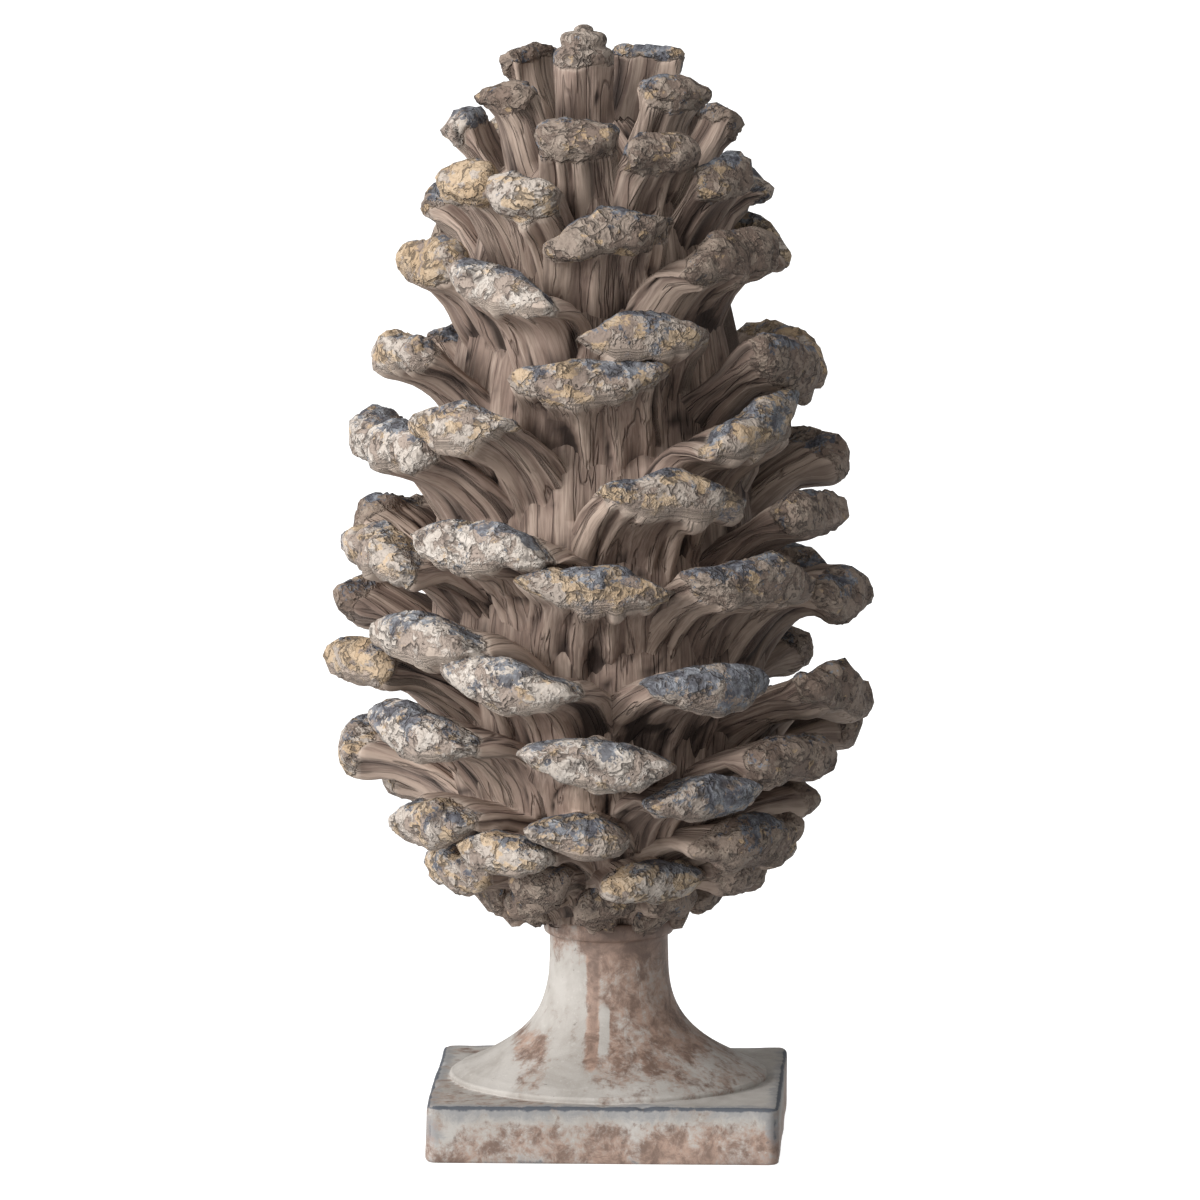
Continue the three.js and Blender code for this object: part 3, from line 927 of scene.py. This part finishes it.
def cone_body(nodes, spot, grain, relief, crust, pale):
    """The scales' bodies, taupe, with painted highlights on the ridges and painted shade in the creases and
    grooves: their colour and height
    """
    fold = nodes.noise(nodes.stretched(grain, (1.0, 0.1, 1.0)), 95, 3, 0.52, 0.4)
    thread = nodes.noise(nodes.stretched(grain, (1.0, 0.07, 1.0)), 360, 2, 0.62, 0.3)
    crease = nodes.rise(nodes.off(fold, 0.5), 0.03, 0.0)
    hair = nodes.rise(nodes.off(thread, 0.5), 0.07, 0.0)
    cloud = nodes.rise(nodes.noise(spot, 26, 4, 0.6), 0.3, 0.7)
    dull = nodes.mix(cloud, rgb(100, 84, 75), rgb(132, 112, 101))
    clear = nodes.mix(cloud, rgb(146, 125, 113), rgb(178, 156, 143))
    body = nodes.mix(pale, dull, clear)
    # Painted highlight on the high folds of the mesh
    body = nodes.mix(nodes.rise(relief, 0.5, 0.85, 0.0, 0.55), body, rgb(196, 176, 160))
    # Painted highlight on the raised folds and threads of the bump, and painted shade in its low folds
    body = nodes.mix(nodes.rise(fold, 0.54, 0.7, 0.0, 0.5), body, rgb(196, 177, 162))
    body = nodes.mix(nodes.rise(fold, 0.46, 0.3, 0.0, 0.4), body, rgb(84, 69, 61))
    body = nodes.mix(nodes.rise(thread, 0.52, 0.7, 0.0, 0.4), body, rgb(190, 171, 156))
    body = nodes.over(body, rgb(82, 67, 59), hair, 0.26)
    # Painted shade in the creases of the bump
    body = nodes.over(body, rgb(60, 48, 43), crease, 0.35)
    # Painted shade deep in the grooves and at the scales' roots
    body = nodes.mix(nodes.rise(relief, 0.5, 0.12, 0.0, 0.92), body, rgb(46, 36, 32))
    body = nodes.over(body, rgb(196, 182, 168), nodes.rise(crust, 0.05, 0.3, 0.0, 0.6), pale)
    return body, nodes.plus(nodes.plus(fold, crease, -0.5), thread, 0.3)


def cone_crust(nodes, spot, relief, slate, ochre, pale, grit):
    """Flakes of cream and tan bark, stained slate and ochre in fretted patches, with pits and cracks, and
    painted shade in its hollows: its colour, its height, and the pattern of its patches"""
    bent = nodes.warped(spot, 70, 9 * MM)
    bark = nodes.noise(bent, 66, 4.5, 0.6)
    pebble = nodes.noise(bent, 135, 3.5, 0.6)
    patches = nodes.noise(bent, 52, 4.5, 0.62)
    blotch = nodes.noise(nodes.stretched(spot, (1.0, 1.0, 1.4)), 80, 3.5, 0.6)
    curl = nodes.off(nodes.noise(bent, 58, 3, 0.62), 0.5)
    flake = nodes.rise(bark, 0.485, 0.515)
    chip = nodes.rise(pebble, 0.545, 0.575)
    ground = nodes.mix(pale, rgb(112, 95, 84), rgb(160, 145, 134))
    shell = nodes.mix(pale, rgb(132, 115, 102), rgb(190, 180, 170))
    crumb = nodes.mix(pale, rgb(152, 136, 121), rgb(210, 202, 193))
    colour = nodes.over(nodes.mix(flake, ground, shell), crumb, chip, 0.55)
    colour = nodes.mix(nodes.rise(grit, 0.48, 0.3, 0.0, 0.5), colour, rgb(104, 90, 81))

    fretted = nodes.plus(nodes.stirred(patches, grit, 0.4), chip, -0.07)
    slate_edge = nodes.rise(slate, 0.0, 1.0, 0.7, 0.4)
    slate_mask = nodes.rise(nodes.math("SUBTRACT", fretted, slate_edge), -0.02, 0.02)
    slate_tone = nodes.mix(nodes.rise(pebble, 0.4, 0.62), rgb(62, 70, 84), rgb(132, 139, 149))
    colour = nodes.over(colour, slate_tone, slate_mask, 0.8)
    ochre_edge = nodes.rise(ochre, 0.0, 1.0, 0.7, 0.44)
    ochre_mask = nodes.rise(nodes.math("SUBTRACT", blotch, ochre_edge), -0.015, 0.03)
    colour = nodes.over(colour, rgb(194, 165, 126), ochre_mask, 0.55)

    crack = nodes.math("MULTIPLY", nodes.rise(curl, 0.03, 0.006), nodes.rise(blotch, 0.4, 0.54))
    rim = nodes.math("MULTIPLY", nodes.rise(nodes.off(bark, 0.47), 0.012, 0.002), 0.3)
    pit = nodes.rise(nodes.plus(pebble, grit, 0.6), 0.6, 0.54)
    crack = nodes.math("MAXIMUM", nodes.math("MAXIMUM", crack, rim), pit)
    colour = nodes.over(colour, rgb(58, 50, 45), crack, 0.7)
    # Painted shade where the crust's relief is low, in its cracks, pits and hollows
    colour = nodes.mix(nodes.rise(relief, 0.48, 0.1, 0.0, 0.7), colour, rgb(70, 62, 58))

    height = nodes.math("MULTIPLY", bark, 1.1)
    for pattern, share in ((grit, 0.3), (pebble, 0.45), (flake, 0.3), (chip, 0.2)):
        height = nodes.plus(height, pattern, share)
    height = nodes.math("ADD", height, nodes.rise(curl, 0.09, 0.02, 0.0, 0.3))
    return colour, nodes.plus(height, crack, -0.6), patches


def cone_material():
    """Grooved taupe bodies that end in bark crust, with a ragged border between the two"""
    nodes = Nodes("cone_finish_look")
    spot = nodes.add("TexCoord").outputs["Object"]
    grain = nodes.add("Attribute", attribute_name="grain").outputs["Vector"]
    paint = nodes.add("Attribute", attribute_name="paint")
    parts = nodes.add("SeparateColor", {"Color": paint.outputs["Color"]})
    crust, relief, slate = (parts.outputs[k] for k in range(3))
    ochre = paint.outputs["Alpha"]
    pale = nodes.add("Attribute", attribute_name="pale").outputs["Fac"]
    grit = nodes.noise(spot, 420, 2, 0.65)

    body, body_height = cone_body(nodes, spot, grain, relief, crust, pale)
    bark, bark_height, patches = cone_crust(nodes, spot, relief, slate, ochre, pale, grit)
    ragged = nodes.stirred(nodes.stirred(crust, patches, 1.2), grit, 0.8)
    mask = nodes.rise(ragged, 0.3, 0.75)
    nodes.feed(nodes.shader.inputs["Base Color"], nodes.mix(mask, body, bark))
    nodes.feed(nodes.shader.inputs["Roughness"], nodes.rise(grit, 0.2, 0.8, 0.72, 0.95))
    nodes.shader.inputs["Specular IOR Level"].default_value = 0.3
    height = nodes.add("Mix", {0: mask, 2: body_height, 3: bark_height}, data_type="FLOAT").outputs[0]
    nodes.feed(nodes.shader.inputs["Normal"], nodes.bump(height, 0.9, 2.5 * MM))
    return nodes.material


def pedestal_material():
    """Whitewash rubbed back over a pinkish brown coat, with slate glaze left along the plinth's edges, and
    painted light on the plinth's top to the right
    """
    nodes = Nodes("pedestal_finish_look")
    spot = nodes.add("TexCoord").outputs["Object"]
    paint = nodes.add("Attribute", attribute_name="paint")
    parts = nodes.add("SeparateColor", {"Color": paint.outputs["Color"]})
    wash_and_light, edge, smudge = (parts.outputs[k] for k in range(3))
    grain = nodes.add("Attribute", attribute_name="grain").outputs["Vector"]

    broad = nodes.noise(nodes.stretched(spot, (1.0, 1.0, 0.75)), 30, 6, 0.62, 0.5)
    mottle = nodes.noise(spot, 95, 7, 0.7, 0.4)
    speck = nodes.noise(spot, 330, 5, 0.7)
    streak = nodes.noise(nodes.stretched(grain, (1.0, 0.22, 1.0)), 140, 5, 0.65, 0.6)
    brown = nodes.mix(nodes.rise(mottle, 0.35, 0.65), rgb(112, 92, 81), rgb(170, 143, 127))
    brown = nodes.mix(nodes.rise(wash_and_light, 0.3, -0.1, 0.0, 0.5), brown, rgb(104, 86, 77))
    white = nodes.mix(nodes.rise(broad, 0.35, 0.65), rgb(156, 150, 143), rgb(178, 173, 167))
    white = nodes.mix(nodes.rise(speck, 0.55, 0.72, 0.0, 0.3), white, rgb(204, 200, 194))
    # The wash share holds the whitewash and, on the plinth's top, painted light to the right
    cover = wash_and_light
    for pattern, share in ((broad, 1.1), (mottle, 1.3), (speck, 0.9), (streak, 0.6)):
        cover = nodes.stirred(cover, pattern, share)
    colour = nodes.mix(nodes.rise(cover, 0.22, 0.74), brown, white)

    line = nodes.stirred(nodes.stirred(edge, mottle, 1.6), broad, 1.2)
    cloudy = nodes.stirred(nodes.stirred(smudge, mottle, 2.0), broad, 1.6)
    colour = nodes.mix(nodes.rise(cloudy, 0.4, 1.1, 0.0, 0.6), colour, rgb(112, 115, 120))
    glaze = nodes.rise(line, 0.5, 0.85)
    colour = nodes.over(colour, rgb(62, 68, 78), glaze, 0.85)
    flecks = nodes.rise(nodes.noise(spot, 210, 3, 0.5), 0.7, 0.75)
    colour = nodes.over(colour, rgb(92, 84, 80), flecks, 0.5)
    nodes.feed(nodes.shader.inputs["Base Color"], colour)
    nodes.feed(nodes.shader.inputs["Roughness"], nodes.rise(cover, 0.3, 0.7, 0.6, 0.8))
    nodes.shader.inputs["Specular IOR Level"].default_value = 0.35
    relief = nodes.plus(nodes.math("MULTIPLY", mottle, 0.7), speck, 0.3)
    nodes.feed(nodes.shader.inputs["Normal"], nodes.bump(relief, 0.35, 1.5 * MM))
    return nodes.material


# Light and camera

def place_camera():
    turn, pitch = CAMERA_TURN, CAMERA_PITCH
    back = Vector((np.sin(turn) * np.cos(pitch), -np.cos(turn) * np.cos(pitch), np.sin(pitch)))
    aim = Vector((CAMERA_AIM_X * np.cos(turn), CAMERA_AIM_X * np.sin(turn), CAMERA_AIM_Z))
    camera = bpy.data.objects.new("camera", bpy.data.cameras.new("camera"))
    bpy.context.scene.collection.objects.link(camera)
    camera.location = aim + back * CAMERA_DISTANCE
    camera.rotation_euler = back.to_track_quat("Z", "Y").to_euler()
    camera.data.sensor_width = SENSOR
    camera.data.lens = SENSOR * CAMERA_DISTANCE / CAMERA_SPAN
    camera.data.clip_end = 50
    bpy.context.scene.camera = camera


def soft_sun(name, towards, strength, spread):
    """A sun as broad as a large soft box, from the direction towards it"""
    light = bpy.data.lights.new(name, "SUN")
    light.energy = strength
    light.angle = np.radians(spread)
    obj = bpy.data.objects.new(name, light)
    obj.rotation_euler = Vector(towards).to_track_quat("Z", "Y").to_euler()
    bpy.context.scene.collection.objects.link(obj)


def surroundings(towards, dim, bright):
    """White all round, brighter on the side that the key light comes from"""
    world = bpy.data.worlds.new("studio")
    world.use_nodes = True
    tree = world.node_tree
    background = tree.nodes["Background"]
    background.inputs["Color"].default_value = (1, 1, 1, 1)
    direction = tree.nodes.new("ShaderNodeTexCoord").outputs["Generated"]
    facing = tree.nodes.new("ShaderNodeVectorMath")
    facing.operation = "DOT_PRODUCT"
    facing.inputs[1].default_value = Vector(towards).normalized()
    rise = tree.nodes.new("ShaderNodeMapRange")
    rise.interpolation_type = "SMOOTHSTEP"
    rise.inputs["From Min"].default_value = -0.05
    rise.inputs["From Max"].default_value = 0.95
    rise.inputs["To Min"].default_value = dim
    rise.inputs["To Max"].default_value = bright
    tree.links.new(direction, facing.inputs[0])
    tree.links.new(facing.outputs["Value"], rise.inputs["Value"])
    tree.links.new(rise.outputs["Result"], background.inputs["Strength"])
    bpy.context.scene.world = world


def studio():
    surroundings((-1.0, -0.6, 0.5), 0.3, 1.5)
    soft_sun("key", (-1.0, -0.85, 0.5), 2.2, 22)

    floor_mesh = bpy.data.meshes.new("floor")
    reach = 12.0
    corners = [(-reach, -reach, 0), (reach, -reach, 0), (reach, reach, 0), (-reach, reach, 0)]
    floor_mesh.from_pydata(corners, [], [(0, 1, 2, 3)])
    floor = bpy.data.objects.new("floor", floor_mesh)
    bpy.context.scene.collection.objects.link(floor)
    nodes = Nodes("floor_pale")
    nodes.shader.inputs["Base Color"].default_value = (0.4, 0.4, 0.4, 1)
    nodes.shader.inputs["Roughness"].default_value = 0.9
    nodes.shader.inputs["Emission Color"].default_value = (1, 1, 1, 1)
    nodes.shader.inputs["Emission Strength"].default_value = 0.9
    floor_mesh.materials.append(nodes.material)
    # The floor shows, and takes the shadow, but throws no light up under the scales
    floor.visible_diffuse = False
    bpy.context.scene.view_settings.view_transform = "Standard"


place_camera()
studio()
for made, material in ((build_cone(), cone_material()), (build_pedestal(), pedestal_material())):
    made.data.materials.clear()
    made.data.materials.append(material)
